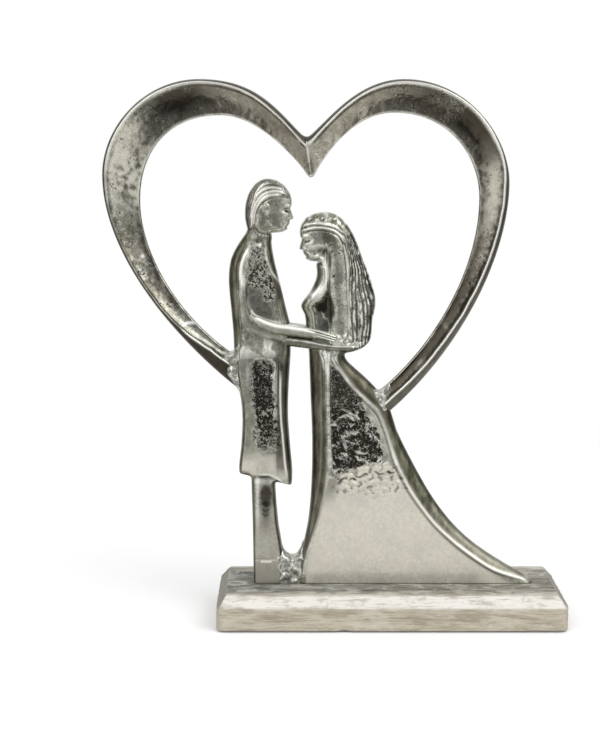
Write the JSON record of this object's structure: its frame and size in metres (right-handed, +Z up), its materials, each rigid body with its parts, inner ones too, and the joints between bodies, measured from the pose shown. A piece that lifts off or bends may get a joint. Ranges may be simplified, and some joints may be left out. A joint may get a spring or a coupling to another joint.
{
  "type": "wedding couple figurine",
  "caption": "Cast-metal bride and groom embracing inside a heart-shaped ring, standing on a chamfered wooden plinth.",
  "frame": {"origin": "middle of the underside of the whole figurine, at the bottom of its felt pads", "axes": "+Z up; the couple and the heart stand in the plane Y = 0, with the groom towards -X and the train towards +X; the pictured front looks towards -Y"},
  "size_m": [0.23, 0.056, 0.27],
  "materials": {
    "polished_casting": "polished sand casting with pitted, darkened recesses",
    "weld_metal": "rough weld metal, wire brushed",
    "whitewashed_wood": "whitewashed, worn along the edges",
    "zinc_steel": "zinc plated",
    "felt": "matt felt"
  },
  "bodies": {
    "root": {"wood_base": "whitewashed_wood", "heart_frame": "polished_casting", "groom": "polished_casting", "bride": "polished_casting", "weld_heart_groom": "weld_metal", "weld_heart_gown": "weld_metal", "weld_feet": "weld_metal", "screw_groom": "zinc_steel", "screw_gown": "zinc_steel", "screw_train": "zinc_steel", "washer_groom": "zinc_steel", "washer_gown": "zinc_steel", "washer_train": "zinc_steel", "pad_1": "felt", "pad_2": "felt", "pad_3": "felt", "pad_4": "felt"}
  },
  "joints": []
}
